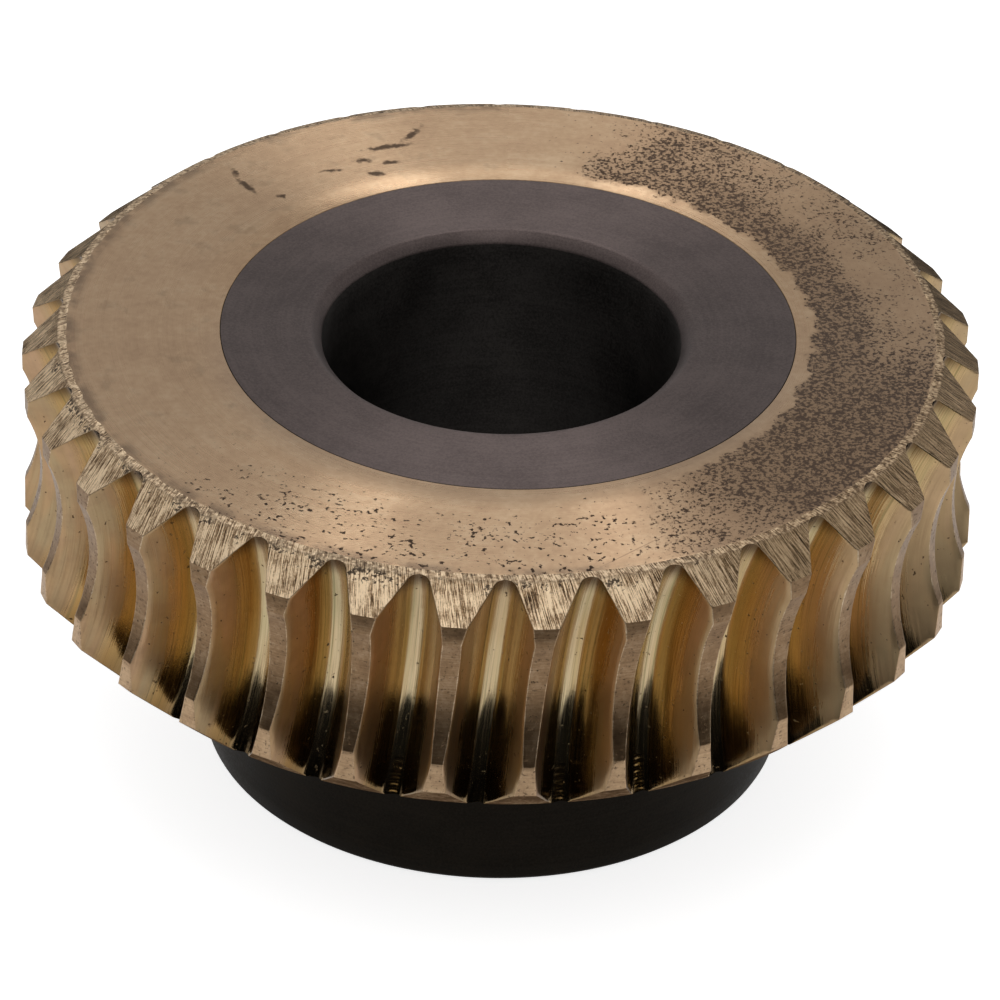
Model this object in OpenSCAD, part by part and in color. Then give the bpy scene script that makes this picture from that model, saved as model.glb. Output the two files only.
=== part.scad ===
// Worm gear: a throated bronze rim with right-hand teeth on a cast iron hub sleeve.
// Sizes are in millimetres. The bore runs along +Z and the hub stands on z = 0.

/* [Teeth] */
// Number of teeth around the rim
tooth_count = 34; // [26:1:60]
// Tooth size: pitch diameter divided by the number of teeth
tooth_module = 2.75; // [2.2:0.05:4]
// Number of threads on the worm that the gear runs with
worm_starts = 2; // [1:1:4]
// Pitch diameter of that worm
worm_pitch_d = 60.5; // [44:0.5:90]
// Distance of that worm's axis below the middle of the rim
worm_drop = 0.5; // [0:0.1:2]
// Height of the rim's outside above the pitch circle
tip_height = 3.85; // [2.5:0.05:5]
// Depth of the tooth spaces below the pitch circle
root_depth = 3.4; // [2.2:0.05:4.5]
// Slope of the tooth flanks, measured from the middle of a space
flank_angle = 27; // [18:0.5:30]
// Radius at the bottom of a tooth space
root_round = 1.3; // [0.8:0.05:1.8]

/* [Rim] */
// Width of the bronze rim along the bore
rim_w = 28; // [22:0.5:40]
// Radial width of the chamfers on the ends of the teeth
chamfer_w = 4; // [1:0.1:6]
// Height of the chamfer at the top of the teeth
top_chamfer_h = 3.5; // [1:0.1:6]
// Height of the chamfer at the bottom of the teeth
bottom_chamfer_h = 3.9; // [1:0.1:6]
// Radius of the hollow turned round the tooth tips
throat_r = 18; // [12:0.5:40]
// Depth of that hollow at its middle
throat_depth = 1.6; // [0.4:0.1:2.5]
// Height of the hollow's middle above the middle of the rim
throat_shift = 0.9; // [-2:0.1:2]

/* [Hub] */
// Diameter of the hub below the rim
hub_d = 62.4; // [54:0.1:72]
// Length of the hub below the rim
hub_projection = 21.4; // [5:0.1:50]
// Diameter of the joint between bronze and iron
seat_d = 60.8; // [52:0.1:72]
// Distance of that joint's middle from the bore, to one side
seat_shift = 0.7; // [0:0.1:2]
// Diameter of the shaft bore
bore_d = 38; // [20:0.5:44]
// Size of the 45 degree chamfers on the ends of the bore
bore_chamfer = 1.1; // [0.2:0.1:2.5]
// Size of the 45 degree chamfer on the hub's lower edge
hub_chamfer = 0.6; // [0.2:0.1:2.5]

/* [Hidden] */
$fn = 120;

// Cuts, and solids that are joined, reach this far past the surfaces where they meet
overcut = 0.3;
// Degrees about the worm's axis over which a tooth space is cut, facing the bore
space_sweep = 120;
// Angle at which the flanks run into the round bottom of a space
root_blend = 8;

bronze = [0.61, 0.51, 0.40];
dark_iron = [0.29, 0.26, 0.25];

pitch_r = tooth_module * tooth_count / 2;
rim_r = pitch_r + tip_height;
face_r = rim_r - chamfer_w;
rim_bottom_z = hub_projection;
rim_mid_z = rim_bottom_z + rim_w / 2;
rim_top_z = rim_bottom_z + rim_w;

// The worm's axis passes the rim at this distance from the bore's axis, at this slope
centre_distance = pitch_r + worm_pitch_d / 2;
lead_angle = atan(worm_starts * tooth_module / worm_pitch_d);

// Radii of a tooth space about the worm's axis: its bottom, and just clear of the rim
space_tip_r = worm_pitch_d / 2 + root_depth;
space_inner_r = centre_distance - rim_r - overcut;
root_centre_r = space_tip_r - root_round;

// Distance of the straight flanks from the centre of the round bottom
flank_offset = root_round * cos(root_blend);

// Half width of a tooth space at a radius about the worm's axis, along its straight flanks
function space_half_w(r) = flank_offset / cos(flank_angle) + (root_centre_r - r) * tan(flank_angle);

// Cross-section of a tooth space: two straight flanks and a round bottom
module space_profile() {
    flank_end = [root_centre_r + flank_offset * sin(flank_angle), flank_offset * cos(flank_angle)];
    inner_half_w = space_half_w(space_inner_r);
    translate([root_centre_r, 0])
        circle(r = root_round);
    polygon([
        [space_inner_r, -inner_half_w],
        [flank_end.x, -flank_end.y],
        [flank_end.x, flank_end.y],
        [space_inner_r, inner_half_w]
    ]);
}

// One tooth space: its cross-section turned about the tilted axis of the worm
module tooth_space() {
    translate([0, -centre_distance, rim_mid_z - worm_drop])
        rotate([0, 90 + lead_angle, 0])
            rotate_extrude(angle = space_sweep, start = 90 - space_sweep / 2)
                space_profile();
}

// Half section of the rim before the teeth are cut: chamfered ends and a hollow throat
module rim_profile() {
    difference() {
        polygon([
            [0, rim_bottom_z],
            [face_r, rim_bottom_z],
            [rim_r, rim_bottom_z + bottom_chamfer_h],
            [rim_r, rim_top_z - top_chamfer_h],
            [face_r, rim_top_z],
            [0, rim_top_z]
        ]);
        translate([rim_r - throat_depth + throat_r, rim_mid_z + throat_shift])
            circle(r = throat_r);
    }
}

// The joint between the two metals, a cylinder a little to one side of the bore
module seat(bottom_z, top_z) {
    translate([seat_shift, 0, bottom_z])
        cylinder(d = seat_d, h = top_z - bottom_z);
}

module bronze_rim() {
    color(bronze)
        difference() {
            rotate_extrude()
                rim_profile();
            seat(rim_bottom_z - overcut, rim_top_z + overcut);
            for (i = [0 : tooth_count - 1])
                rotate([0, 0, i * 360 / tooth_count])
                    tooth_space();
        }
}

// Half section of the bore with a chamfer at each end
module bore_profile() {
    bore_r = bore_d / 2;
    mouth_r = bore_r + bore_chamfer;
    polygon([
        [0, -overcut],
        [mouth_r + overcut, -overcut],
        [bore_r, bore_chamfer],
        [bore_r, rim_top_z - bore_chamfer],
        [mouth_r + overcut, rim_top_z + overcut],
        [0, rim_top_z + overcut]
    ]);
}

// Half section of the hub below the rim
module hub_profile() {
    hub_r = hub_d / 2;
    polygon([
        [0, 0],
        [hub_r - hub_chamfer, 0],
        [hub_r, hub_chamfer],
        [hub_r, rim_bottom_z],
        [0, rim_bottom_z]
    ]);
}

module iron_hub() {
    color(dark_iron)
        difference() {
            union() {
                rotate_extrude()
                    hub_profile();
                seat(rim_bottom_z - overcut, rim_top_z);
            }
            rotate_extrude()
                bore_profile();
        }
}

bronze_rim();
iron_hub();
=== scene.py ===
"""Looks of the worm gear: fine meshes in place of its solids, metal materials, studio and camera."""
import math

import bpy
import numpy as np
from mathutils import Matrix, Vector


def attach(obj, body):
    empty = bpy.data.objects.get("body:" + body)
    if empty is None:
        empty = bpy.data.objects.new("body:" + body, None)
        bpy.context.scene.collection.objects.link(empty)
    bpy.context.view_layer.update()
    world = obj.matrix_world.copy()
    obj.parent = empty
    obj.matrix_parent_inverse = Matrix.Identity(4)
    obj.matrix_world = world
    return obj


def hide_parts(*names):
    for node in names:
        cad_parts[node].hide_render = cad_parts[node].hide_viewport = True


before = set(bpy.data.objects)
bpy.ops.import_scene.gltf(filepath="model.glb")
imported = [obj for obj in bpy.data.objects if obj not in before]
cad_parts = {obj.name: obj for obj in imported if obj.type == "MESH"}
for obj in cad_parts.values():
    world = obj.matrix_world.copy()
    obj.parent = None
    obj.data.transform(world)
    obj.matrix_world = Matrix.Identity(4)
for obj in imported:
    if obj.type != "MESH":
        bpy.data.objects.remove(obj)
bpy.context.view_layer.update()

# Sizes of the gear in millimetres, as in the part's source
TEETH = 34
TOOTH_MODULE = 2.75
WORM_STARTS = 2
WORM_PITCH_D = 60.5
WORM_DROP = 0.5
TIP_HEIGHT = 3.85
ROOT_DEPTH = 3.4
FLANK_ANGLE = math.radians(27)
ROOT_ROUND = 1.3
ROOT_BLEND = math.radians(8)
RIM_W = 28.0
CHAMFER_W = 4.0
TOP_CHAMFER_H = 3.5
BOTTOM_CHAMFER_H = 3.9
THROAT_R = 18.0
THROAT_DEPTH = 1.6
THROAT_SHIFT = 0.9
HUB_R = 31.2
HUB_PROJECTION = 21.4
SEAT_R = 30.4
SEAT_SHIFT = 0.7
BORE_R = 19.0
BORE_CHAMFER = 1.1
HUB_CHAMFER = 0.6

PITCH_R = TOOTH_MODULE * TEETH / 2
RIM_R = PITCH_R + TIP_HEIGHT
FACE_R = RIM_R - CHAMFER_W
BOTTOM_Z = HUB_PROJECTION
MID_Z = BOTTOM_Z + RIM_W / 2
TOP_Z = BOTTOM_Z + RIM_W
WORM_Z = MID_Z - WORM_DROP
CENTRE_DISTANCE = PITCH_R + WORM_PITCH_D / 2
LEAD = math.atan(WORM_STARTS * TOOTH_MODULE / WORM_PITCH_D)
ROOT_CENTRE_R = WORM_PITCH_D / 2 + ROOT_DEPTH - ROOT_ROUND
PITCH_ANGLE = 2 * math.pi / TEETH
FOOT_Z = BOTTOM_Z + BOTTOM_CHAMFER_H
HALF_THROAT = math.sqrt(THROAT_R ** 2 - (THROAT_R - THROAT_DEPTH) ** 2)
THROAT_LOW_Z = MID_Z + THROAT_SHIFT - HALF_THROAT
THROAT_HIGH_Z = MID_Z + THROAT_SHIFT + HALF_THROAT
SHOULDER_Z = TOP_Z - TOP_CHAMFER_H

# Small sizes that only the looks have: broken edges, and the burr where the top chamfer was filed
EDGE_BREAK = 0.06
EDGE_WEAR = 0.45
CORNER_BREAK = 0.10
JOINT_BREAK = 0.06
HUB_BREAK = 0.12
BAND_INNER_R = FACE_R - 0.70
BAND_OUTER_R = FACE_R + 0.22
BURR_LIMIT = 0.12

# A bump flattens the bottom of a space over this half width, by this share of its curve
ROOT_FLAT = 0.7
ROOT_FLATTEN = 0.5
# Distance between the cutter's marks at the lower ends of the spaces
CUTTER_MARK_PITCH = 0.68

# Columns of the rim's mesh for each tooth: across a space, and across a land
SPACE_COLUMNS = 20
LAND_COLUMNS = 14
# Points across a space, with two more on each of its edges
SPACE_POINTS = SPACE_COLUMNS + 5
MM = 0.001

# Section of a space: the turn and length of half its round bottom, and where its straight flank begins
ROUND_TURN = math.pi / 2 - FLANK_ANGLE + ROOT_BLEND
ROUND_LENGTH = ROOT_ROUND * ROUND_TURN
JOIN_RHO = ROOT_CENTRE_R + ROOT_ROUND * math.cos(ROUND_TURN)


def space_profile(t):
    """Radius about the worm's axis and place along that axis, at length t from the bottom of a space."""
    reach = np.abs(t)
    turn = np.minimum(reach, ROUND_LENGTH) / ROOT_ROUND
    run = np.maximum(reach - ROUND_LENGTH, 0)
    rho = ROOT_CENTRE_R + ROOT_ROUND * np.cos(turn) - run * math.cos(FLANK_ANGLE)
    along = ROOT_ROUND * np.sin(turn) + run * math.sin(FLANK_ANGLE)
    return rho, np.sign(t) * along


def space_length(rho):
    """Length from the bottom of a space to where its side has this radius about the worm's axis."""
    turn = np.arccos(np.clip((rho - ROOT_CENTRE_R) / ROOT_ROUND, -1, 1))
    straight = ROUND_LENGTH + (JOIN_RHO - rho) / math.cos(FLANK_ANGLE)
    return np.where(rho > JOIN_RHO, ROOT_ROUND * turn, straight)


def space_point(t, z):
    """Point of a space's side at height z, in the space that faces -Y."""
    rho, along = space_profile(t)
    up = (z - WORM_Z + along * math.sin(LEAD)) / math.cos(LEAD)
    reach = np.sqrt(rho ** 2 - up ** 2)
    x = along * math.cos(LEAD) + up * math.sin(LEAD)
    return np.stack([x, reach - CENTRE_DISTANCE, z + 0 * x], -1)


def space_depth(r, phi, z):
    """How far a point lies inside the space that faces -Y, and its radius about the worm's axis."""
    x = r * np.sin(phi)
    reach = CENTRE_DISTANCE - r * np.cos(phi)
    up = z - WORM_Z
    along = x * math.cos(LEAD) - up * math.sin(LEAD)
    rho = np.hypot(reach, x * math.sin(LEAD) + up * math.cos(LEAD))
    half_w = np.abs(space_profile(space_length(rho))[1])
    return np.where(rho < ROOT_CENTRE_R + ROOT_ROUND, half_w - np.abs(along), -1.0), rho


def space_edge(r, z, side):
    """Angle, and length along a space's profile, where it meets the blank at radius r and height z."""
    inside = np.arcsin((z - WORM_Z) * math.tan(LEAD) / r)
    outside = inside + side * PITCH_ANGLE / 2
    for _ in range(50):
        middle = (inside + outside) / 2
        within = space_depth(r, middle, z)[0] > 0
        inside = np.where(within, middle, inside)
        outside = np.where(within, outside, middle)
    return inside, side * space_length(space_depth(r, inside, z)[1])


def blank_radius(z):
    """Outside radius of the rim before its teeth are cut, at heights z."""
    top = FACE_R + (TOP_Z - z) * CHAMFER_W / TOP_CHAMFER_H
    bottom = FACE_R + (z - BOTTOM_Z) * CHAMFER_W / BOTTOM_CHAMFER_H
    rise = np.clip(THROAT_R ** 2 - (z - MID_Z - THROAT_SHIFT) ** 2, 0, None)
    throat = np.where(rise > 0, RIM_R - THROAT_DEPTH + THROAT_R - np.sqrt(rise), RIM_R)
    band_drop = (BAND_OUTER_R - FACE_R) * TOP_CHAMFER_H / CHAMFER_W
    band = BAND_INNER_R + (TOP_Z - z) * (BAND_OUTER_R - BAND_INNER_R) / band_drop
    return np.minimum.reduce([top, bottom, throat, np.full_like(z, RIM_R), band])


def rim_heights():
    """Heights of the rim's rows up to the tops of its spaces, and the height of those tops."""
    low, high = TOP_Z - 1.0, TOP_Z
    for _ in range(50):
        z = (low + high) / 2
        point = space_point(np.array(0.0), np.array(z))
        if math.hypot(point[0], point[1]) < blank_radius(np.array([z]))[0]:
            low = z
        else:
            high = z
    c = CORNER_BREAK
    near_top = 1.6
    rows = [
        [BOTTOM_Z, BOTTOM_Z + 0.07],
        np.linspace(BOTTOM_Z + 0.5, FOOT_Z - 0.6, 5),
        [FOOT_Z - c, FOOT_Z, FOOT_Z + c],
        np.linspace(FOOT_Z + 0.9, THROAT_LOW_Z - 0.6, 3),
        [THROAT_LOW_Z - 0.05, THROAT_LOW_Z + 0.05],
        np.linspace(THROAT_LOW_Z + 0.6, THROAT_HIGH_Z - 0.6, 19),
        [THROAT_HIGH_Z - 0.05, THROAT_HIGH_Z + 0.05],
        [(THROAT_HIGH_Z + SHOULDER_Z) / 2],
        [SHOULDER_Z - c, SHOULDER_Z, SHOULDER_Z + c],
        np.linspace(SHOULDER_Z + 0.4, low - near_top, 5),
        low - near_top * np.linspace(0.92, 0.06, 9) ** 2,
    ]
    return np.concatenate(rows), low


def ring_waves(phi, seed, lowest, highest, count=40):
    """A smooth random wave around the rim, about 1 high, the same each run."""
    rng = np.random.default_rng(seed)
    cycles = rng.integers(lowest, highest, count)
    phases = rng.uniform(0, 2 * math.pi, count)
    waves = np.cos(np.multiply.outer(phi, cycles) + phases)
    return waves.sum(-1) / math.sqrt(count)


def edge_cuts(phi, seed, chord):
    """Widths of the broken edges along one side of the spaces, uneven as if worn."""
    wear = 1 + EDGE_WEAR * ring_waves(phi, seed, 1, 400)
    return np.minimum(EDGE_BREAK * np.clip(wear, 0.3, 2.2), 0.1 * chord)


def polar(r, phi, z):
    """Points from radius, angle from -Y towards +X, and height."""
    r, phi, z = np.broadcast_arrays(r, phi, z)
    return np.stack([r * np.sin(phi), -r * np.cos(phi), z], -1)


def turned(points, phi):
    """Points of shape (..., 3) turned about the bore's axis by the angles phi."""
    c, s = np.cos(phi), np.sin(phi)
    x, y = points[..., 0], points[..., 1]
    return np.stack([x * c - y * s, x * s + y * c, points[..., 2] + 0 * phi], -1)


class MeshMaker:
    """Collects vertices, faces, the zone of each face and three numbers for each vertex."""

    def __init__(self):
        self.points = []
        self.numbers = []
        self.faces = []
        self.zones = []
        self.count = 0

    def add(self, points, numbers=None):
        """Adds points and gives their indices in the same shape."""
        shape = points.shape[:-1]
        size = int(np.prod(shape))
        self.points.append(points.reshape(-1, 3))
        self.numbers.append(np.zeros((size, 3)) if numbers is None else numbers.reshape(-1, 3))
        indices = np.arange(self.count, self.count + size).reshape(shape)
        self.count += size
        return indices

    def strip(self, lower, upper, zones):
        """Joins two closed rings of equal length with faces, leaving out what has no width."""
        for j in range(len(lower)):
            k = (j + 1) % len(lower)
            corners = []
            for index in (lower[j], lower[k], upper[k], upper[j]):
                if index not in corners:
                    corners.append(int(index))
            if len(corners) > 2:
                self.faces.append(corners)
                self.zones.append(int(zones[j]))

    def build(self, name, materials, sharp_angle):
        """Makes the object, in metres."""
        mesh = bpy.data.meshes.new(name)
        mesh.from_pydata((np.concatenate(self.points) * MM).tolist(), [], self.faces)
        mesh.polygons.foreach_set("material_index", self.zones)
        mesh.polygons.foreach_set("use_smooth", [True] * len(self.faces))
        numbers = np.concatenate(self.numbers)
        for column, label in enumerate(("across", "along", "tooth")):
            attribute = mesh.attributes.new(label, "FLOAT", "POINT")
            attribute.data.foreach_set("value", np.ascontiguousarray(numbers[:, column], np.float32))
        mesh.update()
        mesh.set_sharp_from_angle(angle=sharp_angle)
        for material in materials:
            mesh.materials.append(material)
        obj = bpy.data.objects.new(name, mesh)
        bpy.context.scene.collection.objects.link(obj)
        return obj


FACE, FILED, LAND, SPACE, EDGE = range(5)


def land_steps(width):
    """Shares of a land's width at which its inner columns stand, with one close to each edge."""
    edge = np.minimum(0.12 / width, 0.1)
    inner = np.linspace(0, 1, LAND_COLUMNS - 2)
    return edge[..., None] + (1 - 2 * edge[..., None]) * inner


def make_rim(materials):
    """The bronze rim: rows up to the tops of the spaces, then upper face, seat and lower face."""
    maker = MeshMaker()
    heights, apex_z = rim_heights()
    spaces = np.arange(TEETH) * PITCH_ANGLE
    rng = np.random.default_rng(11)
    tooth_numbers = rng.uniform(0, 1, TEETH)
    apex = space_point(np.array(0.0), np.array(apex_z))
    apex_r = math.hypot(apex[0], apex[1])
    apex_phi = math.atan2(apex[0], -apex[1])
    corner_share = 0.28
    side_share = (1 - corner_share) / 2
    rings = []
    for row, z in enumerate(heights):
        r = float(blank_radius(np.array([z]))[0])
        at = np.full(TEETH, z)
        left, left_t = space_edge(np.array(r), np.array(z), -1)
        right, right_t = space_edge(np.array(r), np.array(z), 1)
        chord = r * float(right - left)
        cut_l = edge_cuts(spaces + 0.19 * row, 5, chord)
        cut_r = edge_cuts(spaces - 0.23 * row, 6, chord)
        t_first = left_t + cut_l
        t_last = right_t - cut_r
        t = t_first[:, None] + (t_last - t_first)[:, None] * np.linspace(0, 1, SPACE_COLUMNS + 1)
        sides = space_point(t, np.full_like(t, z))
        corner_l = polar(r, np.full(TEETH, left), at)
        corner_r = polar(r, np.full(TEETH, right), at)
        land_l = polar(r, left - cut_l / r, at)
        land_r = polar(r, right + cut_r / r, at)
        mid_l = (land_l + sides[:, 0]) * side_share + corner_l * corner_share
        mid_r = (land_r + sides[:, -1]) * side_share + corner_r * corner_share
        space = np.concatenate(
            [land_l[:, None], mid_l[:, None], sides, mid_r[:, None], land_r[:, None]], 1)
        space = turned(space, spaces[:, None])
        start = spaces + right + cut_r / r
        stop = np.roll(spaces + left - cut_l / r, -1)
        stop[-1] += 2 * math.pi
        steps = land_steps((stop - start) * r)
        land_phi = start[:, None] + (stop - start)[:, None] * steps
        land = polar(r, land_phi, np.full_like(land_phi, z))
        points = np.concatenate([space, land], 1)
        numbers = np.zeros(points.shape)
        numbers[:, 2:SPACE_POINTS - 2, 0] = t
        numbers[:, :2, 0] = t[:, :1]
        numbers[:, SPACE_POINTS - 2:SPACE_POINTS, 0] = t[:, -1:]
        numbers[:, :, 1] = z - WORM_Z
        numbers[:, :SPACE_POINTS, 2] = tooth_numbers[:, None]
        rings.append(maker.add(points, numbers).reshape(-1))

    columns = len(rings[0]) // TEETH
    column_zone = np.full(columns, LAND)
    column_zone[:2] = EDGE
    column_zone[2:SPACE_POINTS - 3] = SPACE
    column_zone[SPACE_POINTS - 3:SPACE_POINTS - 1] = EDGE
    filed_zone = np.where(column_zone == LAND, FILED, column_zone)
    for row in range(len(rings) - 1):
        middle = (heights[row] + heights[row + 1]) / 2
        zones = filed_zone if middle > SHOULDER_Z else column_zone
        maker.strip(rings[row], rings[row + 1], np.tile(zones, TEETH))

    few = columns - SPACE_POINTS + 1
    around = spaces[:, None] + apex_phi + PITCH_ANGLE * np.linspace(0, 1, few + 1)[:-1]

    def whole(ring):
        """A ring of few columns, with the one above each space repeated to meet the rows below."""
        ring = ring.reshape(TEETH, few)
        return np.concatenate([np.repeat(ring[:, :1], SPACE_POINTS, 1), ring[:, 1:]], 1).reshape(-1)

    def grow(ring, points, zone):
        """Adds the next ring of points, joins it to the last ring and gives it back."""
        following = maker.add(points).reshape(-1)
        maker.strip(ring, following, np.full(len(ring), zone))
        return following

    burr = ring_waves(around, 21, 60, 420)
    lip = ring_waves(around, 22, 20, 200)
    first = polar(np.full_like(around, apex_r), around, apex_z)
    ring = maker.add(first).reshape(-1)
    maker.strip(rings[-1], whole(ring), np.tile(filed_zone, TEETH))
    # Share of the way to the upper face, rise of the burr there, and sway of its edge
    band = [
        (0.35, 0.060, 0.020),
        (0.62, 0.100, 0.030),
        (0.85, 0.070, 0.030),
        (1.0, 0.010, 0.060),
    ]
    for share, rise, sway in band:
        r = apex_r + (BAND_INNER_R - apex_r) * share + sway * lip
        z = apex_z + (TOP_Z - apex_z) * share + rise * np.clip(burr, -0.6, 1.6)
        ring = grow(ring, polar(r, around, np.minimum(z, TOP_Z + BURR_LIMIT)), FILED)

    def seat_ring(z, wider):
        """The edge of the seat, whose middle is a little to one side of the bore."""
        points = polar(np.full_like(around, SEAT_R + wider), around, z)
        points[..., 0] += SEAT_SHIFT
        return points

    seat_top = seat_ring(TOP_Z, JOINT_BREAK)
    edge_top = polar(np.full_like(around, BAND_INNER_R - 0.25), around, TOP_Z)
    for share in (0.0, 0.25, 0.5, 0.75, 1.0):
        ring = grow(ring, edge_top + (seat_top - edge_top) * share, FACE)
    for z in (TOP_Z - JOINT_BREAK, BOTTOM_Z + JOINT_BREAK):
        ring = grow(ring, seat_ring(z, 0), LAND)
    seat_bottom = seat_ring(BOTTOM_Z, JOINT_BREAK)
    edge_bottom = polar(np.full_like(around, FACE_R - 1.0), around, BOTTOM_Z)
    for share in (0.0, 0.5, 1.0):
        ring = grow(ring, seat_bottom + (edge_bottom - seat_bottom) * share, LAND)
    maker.strip(whole(ring), rings[0], np.full(len(rings[0]), LAND))
    return maker.build("rim_bronze_teeth", materials, math.radians(48))


HUB_TOP, HUB_SIDE, HUB_BORE = range(3)


def make_hub(materials):
    """The iron hub: a turned profile whose seat, inside the rim, stands a little to one side."""
    maker = MeshMaker()
    segments = 240
    phi = np.arange(segments) * 2 * math.pi / segments
    mouth_r = BORE_R + BORE_CHAMFER
    e = HUB_BREAK
    top = [
        (SEAT_R - JOINT_BREAK, TOP_Z, 1.0, HUB_TOP),
        (SEAT_R - 0.6, TOP_Z, 0.95, HUB_TOP),
        ((SEAT_R + mouth_r) / 2, TOP_Z, 0.5, HUB_TOP),
        (mouth_r + 0.5, TOP_Z, 0.0, HUB_TOP),
        (mouth_r + e, TOP_Z, 0.0, HUB_TOP),
        (mouth_r - e, TOP_Z - e, 0.0, HUB_TOP),
        (BORE_R + e, TOP_Z - BORE_CHAMFER + e, 0.0, HUB_TOP),
        (BORE_R, TOP_Z - BORE_CHAMFER - e, 0.0, HUB_BORE),
    ]
    bore = [(BORE_R, z, 0.0, HUB_BORE) for z in np.linspace(TOP_Z - 3, 3, 9)]
    bottom = [
        (BORE_R, BORE_CHAMFER + e, 0.0, HUB_BORE),
        (BORE_R + e, BORE_CHAMFER - e, 0.0, HUB_BORE),
        (mouth_r - e, e, 0.0, HUB_SIDE),
        (mouth_r + e, 0.0, 0.0, HUB_SIDE),
        (HUB_R - HUB_CHAMFER - e, 0.0, 0.0, HUB_SIDE),
        (HUB_R - HUB_CHAMFER + e, e, 0.0, HUB_SIDE),
        (HUB_R - e, HUB_CHAMFER - e, 0.0, HUB_SIDE),
        (HUB_R, HUB_CHAMFER + e, 0.0, HUB_SIDE),
    ]
    side = [(HUB_R, z, 0.0, HUB_SIDE) for z in np.linspace(2.5, HUB_PROJECTION - 1, 7)]
    seat = [
        (HUB_R, HUB_PROJECTION - 0.1, 0.0, HUB_SIDE),
        (HUB_R - 0.08, HUB_PROJECTION, 0.0, HUB_SIDE),
        (SEAT_R, HUB_PROJECTION, 1.0, HUB_SIDE),
        (SEAT_R, TOP_Z - JOINT_BREAK, 1.0, HUB_SIDE),
    ]
    profile = top + bore + bottom + side + seat
    rings = []
    for r, z, shift, _ in profile:
        points = polar(np.full(segments, r), phi, z)
        points[:, 0] += SEAT_SHIFT * shift
        rings.append(maker.add(points))
    for row in range(len(rings)):
        following = rings[(row + 1) % len(rings)]
        maker.strip(rings[row], following, np.full(segments, profile[row][3]))
    return maker.build("hub_iron_sleeve", materials, math.radians(40))


# Materials


class Shader:
    """A material's node tree, with short calls for the nodes that the metals use."""

    def __init__(self, name):
        self.material = bpy.data.materials.new(name)
        self.material.use_nodes = True
        self.tree = self.material.node_tree
        self.tree.nodes.clear()
        place = self.add("ShaderNodeTexCoord").outputs["Object"]
        scaling = {0: place, 1: (1 / MM,) * 3}
        self.place = self.add("ShaderNodeVectorMath", scaling, operation="MULTIPLY").outputs[0]
        parts = self.add("ShaderNodeSeparateXYZ", {0: self.place}).outputs
        self.x, self.y, self.z = parts[0], parts[1], parts[2]
        self.r = self.distance(self.x, self.y)
        self.angle = self.math("ARCTAN2", self.x, self.math("MULTIPLY", self.y, -1.0))

    def add(self, kind, inputs=None, **settings):
        node = self.tree.nodes.new(kind)
        for key, value in settings.items():
            setattr(node, key, value)
        for key, value in (inputs or {}).items():
            if isinstance(value, bpy.types.NodeSocket):
                self.tree.links.new(value, node.inputs[key])
            else:
                node.inputs[key].default_value = value
        return node

    def math(self, operation, a, b=0.0, c=0.0):
        return self.add("ShaderNodeMath", {0: a, 1: b, 2: c}, operation=operation).outputs[0]

    def times(self, *values):
        result = values[0]
        for value in values[1:]:
            result = self.math("MULTIPLY", result, value)
        return result

    def plus(self, *values):
        result = values[0]
        for value in values[1:]:
            result = self.math("ADD", result, value)
        return result

    def distance(self, x, y):
        """How far the point x, y is from the origin."""
        return self.math("SQRT", self.plus(self.math("POWER", x, 2.0), self.math("POWER", y, 2.0)))

    def swing(self, noise, amount):
        """How far a noise is from its middle value, times an amount."""
        return self.times(self.plus(noise, -0.5), amount)

    def less(self, value, share):
        """One, less a share of a value."""
        return self.plus(1.0, self.times(value, -share))

    def step(self, value, low, high, start=0.0, end=1.0):
        """A smooth step from start to end as value goes from low to high."""
        inputs = {0: value, 1: low, 2: high, 3: start, 4: end}
        return self.add("ShaderNodeMapRange", inputs, interpolation_type="SMOOTHSTEP").outputs[0]

    def vector(self, x, y, z=0.0):
        return self.add("ShaderNodeCombineXYZ", {0: x, 1: y, 2: z}).outputs[0]

    def noise(self, vector, scale, detail=3.0, roughness=0.55):
        inputs = {"Vector": vector, "Scale": scale, "Detail": detail, "Roughness": roughness}
        return self.add("ShaderNodeTexNoise", inputs).outputs[0]

    def mix(self, factor, a, b):
        return self.add("ShaderNodeMix", {0: factor, 6: a, 7: b}, data_type="RGBA").outputs[2]

    def ramp(self, factor, stops):
        node = self.add("ShaderNodeValToRGB", {0: factor})
        elements = node.color_ramp.elements
        while len(elements) < len(stops):
            elements.new(0.5)
        for element, (place, colour) in zip(elements, stops):
            element.position = place
            element.color = (*colour, 1.0)
        return node.outputs[0]

    def attribute(self, name):
        return self.add("ShaderNodeAttribute", attribute_name=name).outputs["Fac"]

    def bump(self, height, distance, strength=1.0, normal=None):
        inputs = {"Height": height, "Distance": distance * MM, "Strength": strength}
        if normal is not None:
            inputs["Normal"] = normal
        return self.add("ShaderNodeBump", inputs).outputs[0]

    def finish(self, inputs, turn=None):
        """Ends the tree in one surface; turn is 0.25 for marks around the bore, 0 for marks across."""
        shader = self.add("ShaderNodeBsdfPrincipled", inputs)
        if turn is not None:
            tangent = self.add("ShaderNodeTangent", direction_type="RADIAL", axis="Z").outputs[0]
            self.tree.links.new(tangent, shader.inputs["Tangent"])
            shader.inputs["Anisotropic Rotation"].default_value = turn
        self.add("ShaderNodeOutputMaterial", {"Surface": shader.outputs[0]})
        return self.material


def rgb(red, green, blue):
    """A colour given as it looks on screen, 0 to 255, as the light that it stands for."""
    values = [v / 255 for v in (red, green, blue)]
    return tuple(v / 12.92 if v <= 0.04045 else ((v + 0.055) / 1.055) ** 2.4 for v in values)


def rgba(red, green, blue):
    return (*rgb(red, green, blue), 1.0)


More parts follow.
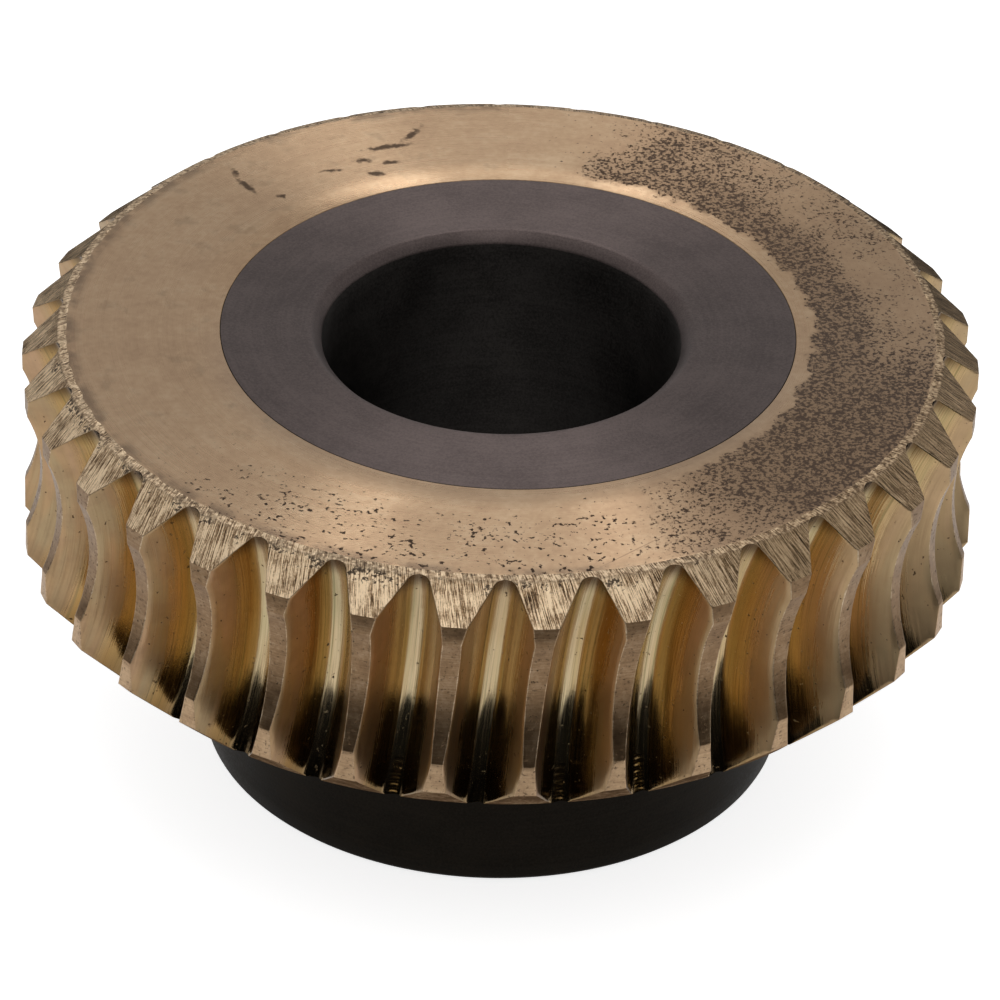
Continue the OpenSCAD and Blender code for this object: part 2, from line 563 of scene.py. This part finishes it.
def oval(s, x, y, long_half, short_half, turn):
    """Distance from the middle of an oval on the upper face, 1 at its edge."""
    inputs = {
        "Vector": s.place,
        "Location": (x, y, TOP_Z),
        "Rotation": (0, 0, math.radians(turn)),
        "Scale": (long_half, short_half, 50.0),
    }
    local = s.add("ShaderNodeMapping", inputs, vector_type="TEXTURE").outputs[0]
    return s.add("ShaderNodeVectorMath", {0: local}, operation="LENGTH").outputs["Value"]


def smudges(s):
    """A few dark marks at the back left of the upper face."""
    places = [
        (-13.0, 36.6, 2.6, 0.55, 18),
        (-10.6, 39.4, 1.9, 0.5, 62),
        (-15.8, 33.6, 0.9, 0.55, 5),
        (-12.6, 33.4, 1.3, 0.4, 12),
        (-14.2, 30.9, 1.0, 0.6, 0),
        (-19.2, 31.2, 1.2, 0.35, 8),
        (-28.3, 27.6, 2.0, 0.45, 128),
        (-29.6, 30.2, 0.8, 0.4, 118),
        (-24.3, 25.6, 0.6, 0.4, 0),
    ]
    wobble = s.noise(s.place, 1.4, 3.0)
    total = None
    for place in places:
        ragged = s.plus(oval(s, *place), s.swing(wobble, 2.6))
        spot = s.step(ragged, 0.3, 1.3, 0.85, 0.0)
        total = spot if total is None else s.math("MAXIMUM", total, spot)
    return total


def bronze_face():
    """Turned bronze with rings around the bore, dark pits and a dark stain over the right side."""
    s = Shader("bronze_turned_face")
    fine = s.noise(s.vector(s.times(s.angle, 0.8), s.times(s.r, 5.0)), 1.0, 4.0, 0.7)
    broad = s.noise(s.vector(s.times(s.angle, 0.6), s.times(s.r, 0.55), 3.0), 1.0, 2.0)
    cloud = s.noise(s.place, 0.11, 3.0)
    smear = s.noise(s.place, 0.3, 5.0, 0.65)
    grain = s.noise(s.place, 1.3, 4.0, 0.65)
    # Where the dark stain lies
    seat_r = s.distance(s.plus(s.x, -SEAT_SHIFT), s.y)
    ragged = s.plus(seat_r, s.swing(s.noise(s.place, 0.5, 4.0, 0.6), 4.0))
    clear_of_hub = s.step(ragged, 31.5, 33.0)
    right = s.times(s.step(s.angle, -0.12, 0.98), s.step(s.angle, 2.70, 3.10, 1.0, 0.0))
    outer_back = s.times(
        s.step(s.angle, 1.2, 1.6),
        s.step(s.angle, 2.3, 2.7, 1.0, 0.6),
        s.step(s.r, 36.5, 40.5),
    )
    patch = s.step(cloud, 0.34, 0.62, 0.8, 1.1)
    thin = s.less(outer_back, 0.44)
    rim_clear = s.step(s.r, FACE_R - 1.1, FACE_R - 0.3, 1.0, 0.25)
    dense = s.times(right, clear_of_hub, patch, thin, rim_clear)
    # Pits: scattered in front, and crowded in the stain
    front = s.times(
        s.step(s.angle, -1.15, -0.6),
        s.step(s.angle, 0.5, 0.8, 1.0, 0.0),
        s.step(s.r, 32.0, 38.0),
    )
    sparse = s.times(front, s.step(smear, 0.40, 0.60, 0.30, 0.58))
    density = s.math("MAXIMUM", dense, sparse)
    large = s.noise(s.place, 1.6, 3.0, 0.55)
    small = s.noise(s.place, 2.7, 3.0, 0.6)
    blend = s.step(dense, 0.25, 0.7)
    specks = s.plus(s.times(small, blend), s.times(large, s.less(blend, 1.0)))
    level = s.step(density, 0.0, 1.0, 0.70, 0.485)
    over = s.math("SUBTRACT", specks, level)
    soft = s.times(blend, 0.05)
    edge = s.step(over, s.times(s.plus(soft, 0.02), -1.0), s.plus(soft, 0.03))
    pits = s.times(edge, s.step(density, 0.02, 0.08))
    dark = s.math("MAXIMUM", pits, smudges(s))
    # Colours: clean metal, worn places, a painted shadow beside the burr's lip, and dirt in the pits
    rings = s.plus(s.times(fine, 0.15), s.times(broad, 0.1))
    tone = s.plus(rings, s.times(grain, 0.27), s.times(smear, 0.25), s.times(cloud, 0.23))
    clean = s.ramp(tone, [
        (0.36, rgb(174, 143, 114)),
        (0.5, rgb(192, 161, 129)),
        (0.62, rgb(206, 178, 146)),
    ])
    worn_and_painted_light = s.mix(s.times(s.step(dense, 0.2, 0.95), 0.9), clean, rgba(158, 131, 104))
    dirt = s.mix(s.step(dense, 0.3, 0.95), rgba(68, 50, 37), rgba(100, 81, 67))
    left = s.step(s.angle, -0.5, -0.9)
    worn_and_painted_light = s.mix(s.times(s.step(smear, 0.54, 0.68), left, 0.35), worn_and_painted_light, rgba(136, 111, 87))
    # Painted shadow: a patchy dark band on the face just inside the burr's lip, away from the stain
    lip_shadow_painted = s.times(
        s.step(s.r, FACE_R - 2.4, FACE_R - 0.9),
        s.step(smear, 0.38, 0.58),
        s.step(s.angle, 0.3, 0.7, 1.0, 0.0),
    )
    worn_and_painted_light = s.mix(s.times(lip_shadow_painted, 0.6), worn_and_painted_light, rgba(112, 93, 77))
    scratch = s.step(oval(s, 14.0, -41.0, 5.3, 0.09, 43), 0.4, 1.1, 0.5, 0.0)
    worn_and_painted_light = s.mix(scratch, worn_and_painted_light, rgba(116, 94, 74))
    colour = s.mix(dark, worn_and_painted_light, dirt)
    rough = s.plus(s.step(dark, 0.0, 1.0, 0.28, 0.5), s.times(dense, 0.08), s.swing(fine, 0.08))
    height = s.plus(s.times(fine, 0.15), s.times(dark, -0.7))
    inputs = {
        "Base Color": colour,
        "Metallic": s.step(dark, 0.0, 1.0, 1.0, 0.7),
        "Roughness": rough,
        "Anisotropic": 1.0,
        "Normal": s.bump(height, 0.02, 0.5),
    }
    return s.finish(inputs, turn=0.25)


def bronze_filed():
    """Bright filed bronze: marks down the slope, dark clusters by the face, brown on the right."""
    s = Shader("bronze_filed_chamfer")
    arc = s.times(s.angle, FACE_R)
    slant = s.plus(arc, s.times(s.r, -0.27))
    coarse = s.noise(s.vector(s.times(slant, 6.4), s.times(s.r, 0.32)), 1.0, 4.0, 0.7)
    fine = s.noise(s.vector(s.times(slant, 15.0), s.times(s.r, 0.9), 7.0), 1.0, 3.0, 0.6)
    grit = s.noise(s.place, 5.0, 3.0, 0.6)
    cloud = s.noise(s.place, 0.42, 3.0)
    clump = s.noise(s.place, 2.6, 3.0, 0.65)
    near_face = s.step(s.r, FACE_R + 0.2, FACE_R + 2.4, 1.0, 0.0)
    right = s.times(s.step(s.angle, 0.30, 0.62), s.step(s.angle, 2.6, 3.0, 1.0, 0.0))
    load = s.times(near_face, s.step(cloud, 0.44, 0.59), s.less(right, 0.6))
    level = s.step(load, 0.0, 1.0, 0.72, 0.48)
    pits = s.times(s.step(s.math("SUBTRACT", clump, level), -0.03, 0.05), s.step(load, 0.0, 0.05))
    tone = s.plus(s.times(coarse, 0.55), s.times(fine, 0.32), s.times(grit, 0.13))
    lit = s.plus(tone, s.swing(cloud, 0.25))
    metal = s.ramp(lit, [
        (0.415, rgb(60, 46, 34)),
        (0.47, rgb(160, 129, 96)),
        (0.535, rgb(254, 226, 188)),
    ])
    brown = s.ramp(tone, [
        (0.42, rgb(56, 45, 34)),
        (0.48, rgb(124, 101, 74)),
        (0.55, rgb(190, 162, 126)),
    ])
    stained = s.mix(s.times(right, s.step(cloud, 0.36, 0.56, 0.7, 0.95)), metal, brown)
    # The rubbed band of the burr, beside the upper face: worn metal, coloured lighter as a painted
    # highlight on its ridge
    band = s.times(s.step(s.r, FACE_R + 0.15, FACE_R + 0.45, 1.0, 0.0), 0.85)
    rub = s.plus(s.times(s.noise(s.place, 2.4, 3.0, 0.6), 0.45), s.times(coarse, 0.55))
    worn_and_painted_light = s.ramp(rub, [
        (0.42, rgb(96, 78, 61)),
        (0.49, rgb(172, 146, 117)),
        (0.55, rgb(226, 202, 170)),
    ])
    old = s.ramp(rub, [
        (0.42, rgb(66, 52, 40)),
        (0.49, rgb(134, 109, 83)),
        (0.56, rgb(210, 184, 150)),
    ])
    worn_and_painted_light = s.mix(s.times(right, 0.85), worn_and_painted_light, old)
    colour = s.mix(band, stained, worn_and_painted_light)
    colour = s.mix(s.times(pits, s.plus(0.9, s.times(band, -0.8))), colour, rgba(64, 49, 38))
    rough = s.plus(s.step(pits, 0.0, 1.0, 0.33, 0.6), s.swing(fine, 0.2), s.times(band, 0.12))
    height = s.plus(s.times(coarse, 0.8), s.times(fine, 0.35), s.times(pits, -0.5), s.times(rub, band))
    inputs = {
        "Base Color": colour,
        "Metallic": s.step(pits, 0.0, 1.0, 1.0, 0.6),
        "Roughness": rough,
        "Anisotropic": 0.4,
        "Normal": s.bump(height, 0.085, 0.8),
    }
    return s.finish(inputs, turn=0.0)


def bronze_land(name, dark, middle, light):
    """Dull turned bronze on the tips, ends and edges of the teeth, with fine pores."""
    s = Shader(name)
    arc = s.times(s.angle, RIM_R)
    lines = s.noise(s.vector(s.times(arc, 0.25), s.times(s.z, 5.5)), 1.0, 3.0, 0.6)
    cloud = s.noise(s.place, 0.5, 4.0, 0.6)
    pores = s.step(s.noise(s.place, 3.2, 2.0, 0.5), 0.59, 0.69)
    big = s.step(s.noise(s.place, 1.6, 2.0, 0.5), 0.68, 0.73)
    holes = s.math("MAXIMUM", s.times(pores, 0.6), big)
    grain = s.noise(s.place, 2.2, 4.0, 0.65)
    tone = s.plus(s.times(lines, 0.28), s.times(cloud, 0.45), s.times(grain, 0.27))
    metal = s.ramp(tone, [(0.36, dark), (0.5, middle), (0.64, light)])
    # Lighter below the throat, as painted light, and darker, duller and less metallic on the chamfer at
    # the lower end
    painted_light_below_throat = s.step(s.z, THROAT_LOW_Z - 0.1, THROAT_LOW_Z + 0.1, 0.8, 0.0)
    lighter = s.ramp(tone, [(0.36, rgb(172, 141, 109)), (0.6, rgb(218, 186, 149))])
    metal = s.mix(painted_light_below_throat, metal, lighter)
    lower_end = s.step(s.z, FOOT_Z - 0.1, FOOT_Z + 0.1, 1.0, 0.0)
    lower_chamfer_tone = s.ramp(tone, [
        (0.38, rgb(78, 59, 42)),
        (0.5, rgb(128, 99, 71)),
        (0.64, rgb(190, 160, 126)),
    ])
    metal = s.mix(lower_end, metal, lower_chamfer_tone)
    colour = s.mix(s.times(holes, 0.7), metal, rgba(62, 50, 40))
    dull = s.math("MAXIMUM", holes, lower_end)
    rough = s.plus(s.step(dull, 0.0, 1.0, 0.38, 0.62), s.swing(cloud, 0.18))
    height = s.plus(s.times(lines, 0.4), s.times(holes, -0.7))
    metallic = s.times(s.step(holes, 0.0, 1.0, 1.0, 0.6), s.step(lower_end, 0.0, 1.0, 1.0, 0.1))
    inputs = {
        "Base Color": colour,
        "Metallic": metallic,
        "Specular IOR Level": 0.0,
        "Roughness": rough,
        "Normal": s.bump(height, 0.03, 0.7),
    }
    return s.finish(inputs)


def bronze_space():
    """Hobbed bronze in the tooth spaces: polished streaks with heat tints, dull towards the tips, with a
    painted dark reflection at the lower ends and painted shade at the upper ends.
    """
    s = Shader("bronze_tooth_space")
    across = s.attribute("across")
    along = s.attribute("along")
    tooth = s.attribute("tooth")
    offset = s.times(tooth, 40.0)

    def drawn(width, length, layer):
        """Texture coordinates stretched along a space, different in each space."""
        return s.vector(s.plus(s.times(across, width), offset), s.times(along, length), layer)

    streak = s.noise(drawn(1.3, 0.03, offset), 1.0, 3.0, 0.55)
    fine = s.noise(drawn(6.0, 0.09, 5.0), 1.0, 3.0, 0.6)
    tint = s.noise(drawn(0.4, 0.07, 9.0), 1.0, 2.0)
    mottle = s.noise(s.place, 0.22, 4.0, 0.6)
    side = s.math("ABSOLUTE", across)
    shade = s.plus(s.times(side, 0.16), s.swing(streak, 0.75))
    gold = s.ramp(shade, [
        (0.02, rgb(216, 194, 156)),
        (0.20, rgb(200, 178, 134)),
        (0.36, rgb(180, 158, 110)),
        (0.52, rgb(186, 154, 102)),
        (0.80, rgb(182, 148, 100)),
    ])
    tinted = s.ramp(tint, [
        (0.38, rgb(192, 156, 106)),
        (0.5, rgb(198, 176, 138)),
        (0.62, rgb(172, 167, 126)),
    ])
    polished = s.mix(0.3, gold, tinted)
    polished = s.mix(s.step(across, 0.6, 2.4, 0.0, 0.6), polished, rgba(202, 174, 128))
    polished = s.mix(s.step(across, -0.8, -2.2, 0.0, 0.45), polished, rgba(186, 142, 72))
    polished = s.mix(s.step(fine, 0.42, 0.72, 0.0, 0.4), polished, rgba(142, 112, 72))
    line = s.noise(drawn(2.6, 0.02, 13.0), 1.0, 2.0)
    polished = s.mix(s.step(line, 0.55, 0.64, 0.0, 0.5), polished, rgba(118, 112, 70))
    # Dull metal towards the tips, reaching deeper on the left flank and less deep at the lower ends
    uneven = s.plus(s.swing(mottle, 2.4), s.swing(fine, 1.2))
    left_more = s.step(across, -1.0, 1.0, 0.6, 0.0)
    low_less = s.step(along, -6.0, -12.0, 0.0, -0.9)
    dull = s.step(s.plus(side, uneven, left_more, low_less), 3.2, 5.4)
    matte = s.ramp(tint, [
        (0.38, rgb(204, 168, 134)),
        (0.5, rgb(196, 163, 124)),
        (0.62, rgb(188, 164, 128)),
    ])
    matte = s.mix(s.step(mottle, 0.36, 0.66, 0.0, 0.6), matte, rgba(168, 138, 108))
    matte = s.mix(s.step(across, 0.5, 2.5, 0.0, 0.45), matte, rgba(202, 174, 132))
    specks = s.step(s.noise(s.place, 1.9, 3.0, 0.55), 0.68, 0.72)
    colour = s.mix(s.times(dull, 0.9), polished, matte)
    # Painted dark reflection: the lower ends of the spaces are darkened, where they mirror the dark
    # front of the room
    colour = s.mix(s.step(along, -7.5, -13.0, 0.0, 0.62), colour, rgba(112, 84, 56))
    # Painted shade: the upper ends of the spaces are darkened, where they mirror the shadowed floor
    # under the rim
    colour = s.mix(s.step(along, 11.4, 14.0, 0.0, 0.9), colour, rgba(86, 63, 40))
    colour = s.mix(s.times(specks, 0.75), colour, rgba(54, 42, 32))
    # Marks of the cutter across the bottom, at the lower ends of some spaces
    centre = s.step(side, 0.3, 0.75, 1.0, 0.0)
    low = s.times(s.step(along, -9.2, -10.6), s.step(tooth, 0.2, 0.6))
    ripple = s.times(s.math("SINE", s.times(along, 2 * math.pi / CUTTER_MARK_PITCH)), centre, low)
    colour = s.mix(s.times(centre, low, 0.5), colour, rgba(186, 140, 62))
    height = s.plus(
        s.times(streak, 0.4),
        s.times(fine, 0.3),
        s.times(ripple, 0.38),
        s.times(specks, -0.4),
    )
    # A bump that flattens the bottom and blends into the round on both sides of it
    bottom = s.math("MINIMUM", side, ROOT_FLAT)
    blend_width = ROUND_LENGTH - ROOT_FLAT
    corner = s.math("MINIMUM", s.math("MAXIMUM", s.plus(side, -ROOT_FLAT), 0.0), blend_width)
    slope = ROOT_FLATTEN * ROOT_FLAT / ROOT_ROUND
    bowl = s.times(bottom, bottom, ROOT_FLATTEN / (2 * ROOT_ROUND))
    bend = s.plus(corner, s.times(corner, corner, -0.5 / blend_width))
    flat = s.bump(s.times(s.plus(bowl, s.times(bend, slope)), -1.0), 1.0)
    rough = s.plus(
        s.step(dull, 0.0, 1.0, 0.10, 0.30),
        s.step(fine, 0.40, 0.66, 0.0, 0.10),
        s.times(specks, 0.3),
    )
    inputs = {
        "Base Color": colour,
        "Metallic": 1.0,
        "Roughness": rough,
        "Normal": s.bump(height, 0.075, 0.6, flat),
    }
    return s.finish(inputs)


def iron(name, dark, light, low_rough, high_rough):
    """Machined cast iron: fine grain, faint rings around the bore and small scuffs."""
    s = Shader(name)
    grain = s.noise(s.place, 4.2, 3.0, 0.6)
    cloud = s.noise(s.place, 0.16, 4.0)
    rings = s.noise(s.vector(s.times(s.angle, 1.1), s.times(s.r, 2.6), s.times(s.z, 2.6)), 1.0, 3.0, 0.6)
    drag = s.vector(s.times(s.x, 0.35), s.times(s.y, 1.4), s.times(s.z, 0.6))
    scuff = s.step(s.noise(drag, 1.0, 4.0, 0.65), 0.6, 0.75)
    tone = s.plus(s.times(grain, 0.5), s.times(cloud, 0.35), s.times(rings, 0.15))
    colour = s.mix(s.step(tone, 0.34, 0.66), dark, light)
    colour = s.mix(s.times(scuff, 0.25), colour, light)
    rough = s.step(s.plus(s.times(grain, 0.7), s.times(cloud, 0.3)), 0.3, 0.7, low_rough, high_rough)
    inputs = {
        "Base Color": colour,
        "Metallic": 1.0,
        "Roughness": rough,
        "Anisotropic": 0.9,
        "Normal": s.bump(s.plus(grain, s.times(rings, 0.5)), 0.02, 0.7),
    }
    return s.finish(inputs, turn=0.25)


rim = make_rim([
    bronze_face(),
    bronze_filed(),
    bronze_land("bronze_tooth_land", rgb(127, 100, 74), rgb(152, 123, 92), rgb(180, 152, 121)),
    bronze_space(),
    # Partly painted highlight: the broken edges are coloured much lighter than the lands, as worn metal
    # and as a glint along each edge
    bronze_land("bronze_tooth_edge", rgb(128, 104, 80), rgb(192, 166, 134), rgb(240, 220, 190)),
])
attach(rim, "root")
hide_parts("bronze_rim")

hub = make_hub([
    iron("iron_hub_top", rgba(85, 75, 73), rgba(110, 98, 95), 0.34, 0.46),
    # Painted shade: the side, underside and seat of the hub are coloured much darker than its top, for
    # the shade under the rim
    iron("iron_hub_side_painted_shade", rgba(30, 27, 23), rgba(46, 41, 35), 0.34, 0.50),
    iron("iron_hub_bore", rgba(52, 49, 47), rgba(76, 72, 69), 0.4, 0.55),
])
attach(hub, "root")
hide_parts("iron_hub")


# Studio: floor, soft lights, and a dark front where the camera stands

# Sizes of the studio's floor and dark card, in metres
FLOOR_HALF = 8.0
FLOOR_Z = -0.0002
CARD_HOLE = (0.16, 0.106)
CARD_R = 7.9
CARD_Z = 0.0006
# Light that the floor gives off to each kind of ray
FLOOR_GLOW = {"Is Camera Ray": 0.78, "Is Glossy Ray": 0.32, "Is Transmission Ray": 0.32}
# The back lights hang in a row at this distance and height, and have this length
BACK_LIGHT_Y = 0.58
LIGHT_Z = 1.0
BACK_LIGHT_LENGTH = 0.5
# Brightness of the room, and of its dark front
ROOM_LEVEL = 0.70
DARK_LEVEL = 0.004


def flat_piece(name, points, faces):
    """A flat piece of the studio."""
    mesh = bpy.data.meshes.new(name)
    mesh.from_pydata(points, [], faces)
    obj = bpy.data.objects.new(name, mesh)
    bpy.context.scene.collection.objects.link(obj)
    return obj


def floor_material():
    """White floor that takes shadows, with light of its own for the camera and for reflections."""
    material = bpy.data.materials.new("studio_floor")
    material.use_nodes = True
    tree = material.node_tree
    tree.nodes.clear()
    diffuse = tree.nodes.new("ShaderNodeBsdfDiffuse")
    diffuse.inputs["Color"].default_value = (0.8, 0.8, 0.8, 1.0)
    path = tree.nodes.new("ShaderNodeLightPath")
    seen = None
    for ray, glow in FLOOR_GLOW.items():
        part = tree.nodes.new("ShaderNodeMath")
        part.operation = "MULTIPLY_ADD"
        tree.links.new(path.outputs[ray], part.inputs[0])
        part.inputs[1].default_value = glow
        part.inputs[2].default_value = 0.0
        if seen is not None:
            tree.links.new(seen, part.inputs[2])
        seen = part.outputs[0]
    shine = tree.nodes.new("ShaderNodeEmission")
    tree.links.new(seen, shine.inputs["Strength"])
    both = tree.nodes.new("ShaderNodeAddShader")
    tree.links.new(diffuse.outputs[0], both.inputs[0])
    tree.links.new(shine.outputs[0], both.inputs[1])
    out = tree.nodes.new("ShaderNodeOutputMaterial")
    tree.links.new(both.outputs[0], out.inputs["Surface"])
    return material


floor_signs = ((-1, -1), (1, -1), (1, 1), (-1, 1))
floor_corners = [(x * FLOOR_HALF, y * FLOOR_HALF, FLOOR_Z) for x, y in floor_signs]
floor = flat_piece("studio_floor", floor_corners, [(0, 1, 2, 3)])
floor.data.materials.append(floor_material())


def oval_ring(name, hole, outer_r, z):
    """A flat level ring with an oval hole."""
    segments = 96
    phi = np.arange(segments) * 2 * math.pi / segments
    inner = polar(1.0, phi, z) * (*hole, 1.0)
    points = np.concatenate([inner, polar(outer_r, phi, z)])
    faces = []
    for i in range(segments):
        k = (i + 1) % segments
        faces.append((i, k, segments + k, segments + i))
    return flat_piece(name, points.tolist(), faces)


# The card darkens only what the metal reflects
card = oval_ring("studio_dark_card", CARD_HOLE, CARD_R, CARD_Z)
card_material = bpy.data.materials.new("studio_dark_card")
card_material.use_nodes = True
card_shader = card_material.node_tree.nodes["Principled BSDF"]
card_shader.inputs["Base Color"].default_value = (0.01, 0.01, 0.01, 1.0)
card_shader.inputs["Specular IOR Level"].default_value = 0.0
card.data.materials.append(card_material)
card.visible_camera = False
card.visible_diffuse = False
card.visible_shadow = False


def soft_light(name, place, aim, width, length, brightness):
    """A rectangular soft light of the given brightness, facing its aim."""
    data = bpy.data.lights.new(name, "AREA")
    data.shape = "RECTANGLE"
    data.size = width
    data.size_y = length
    data.energy = brightness * math.pi * width * length
    obj = bpy.data.objects.new(name, data)
    obj.location = place
    obj.rotation_euler = (Vector(aim) - Vector(place)).to_track_quat("-Z", "Y").to_euler()
    bpy.context.scene.collection.objects.link(obj)
    return obj


for name, x, width, brightness in (
    ("back_middle_soft", 0.0, 0.20, 1.45),
    ("back_left_soft", -0.165, 0.09, 4.6),
    ("back_right_soft", 0.157, 0.085, 5.4),
    ("back_far_soft", -0.42, 0.20, 0.7),
):
    place = (x, BACK_LIGHT_Y, LIGHT_Z)
    soft_light(name, place, (x, BACK_LIGHT_Y, 0.0), width, BACK_LIGHT_LENGTH, brightness)
soft_light("front_soft", (0.03, -0.45, LIGHT_Z), (0.03, -0.45, 0.0), 0.42, 0.4, 1.15)


def studio_world():
    """Soft room light, dim near the horizon in front, where the camera stands."""
    world = bpy.data.worlds.new("studio_world")
    bpy.context.scene.world = world
    world.use_nodes = True
    tree = world.node_tree
    tree.nodes.clear()
    way = tree.nodes.new("ShaderNodeTexCoord")
    parts = tree.nodes.new("ShaderNodeSeparateXYZ")
    tree.links.new(way.outputs["Generated"], parts.inputs[0])
    shares = []
    for axis, low, high in ((1, -0.5, -0.1), (2, 0.36, 0.41)):
        share = tree.nodes.new("ShaderNodeMapRange")
        share.interpolation_type = "SMOOTHSTEP"
        for index, value in ((1, low), (2, high), (3, DARK_LEVEL), (4, ROOM_LEVEL)):
            share.inputs[index].default_value = value
        tree.links.new(parts.outputs[axis], share.inputs[0])
        shares.append(share.outputs[0])
    level = tree.nodes.new("ShaderNodeMath")
    level.operation = "MAXIMUM"
    tree.links.new(shares[0], level.inputs[0])
    tree.links.new(shares[1], level.inputs[1])
    background = tree.nodes.new("ShaderNodeBackground")
    tree.links.new(level.outputs[0], background.inputs["Strength"])
    out = tree.nodes.new("ShaderNodeOutputWorld")
    tree.links.new(background.outputs[0], out.inputs["Surface"])


studio_world()


# Camera at the photograph's viewing angle

IMAGE_SIDE = 1000
FOCAL_PIXELS = 7460.3
TARGET_PIXEL = (501.6, 329.3)
CAMERA_DISTANCE = 0.7877
CAMERA_ELEVATION = math.radians(32.452)
CAMERA_AZIMUTH = math.radians(0.2)
CAMERA_ROLL = math.radians(1.575)

target = Vector((0, 0, TOP_Z * MM))
way = Vector((
    math.cos(CAMERA_ELEVATION) * math.sin(CAMERA_AZIMUTH),
    -math.cos(CAMERA_ELEVATION) * math.cos(CAMERA_AZIMUTH),
    math.sin(CAMERA_ELEVATION),
))
side_way = Vector((math.cos(CAMERA_AZIMUTH), math.sin(CAMERA_AZIMUTH), 0))
turn = Matrix((side_way, way.cross(side_way), way)).transposed()
sight = Vector((TARGET_PIXEL[0] - IMAGE_SIDE / 2, IMAGE_SIDE / 2 - TARGET_PIXEL[1], -FOCAL_PIXELS))
aim = sight.rotation_difference(Vector((0, 0, -1))).to_matrix()
turn = turn @ Matrix.Rotation(CAMERA_ROLL, 3, "Z") @ aim
camera_data = bpy.data.cameras.new("camera")
camera_data.sensor_width = 36.0
camera_data.sensor_fit = "HORIZONTAL"
camera_data.lens = FOCAL_PIXELS / IMAGE_SIDE * camera_data.sensor_width
camera_data.clip_end = 20.0
camera = bpy.data.objects.new("camera", camera_data)
camera.matrix_world = Matrix.Translation(target + way * CAMERA_DISTANCE) @ turn.to_4x4()
bpy.context.scene.collection.objects.link(camera)
bpy.context.scene.camera = camera

bpy.context.scene.view_settings.view_transform = "Standard"
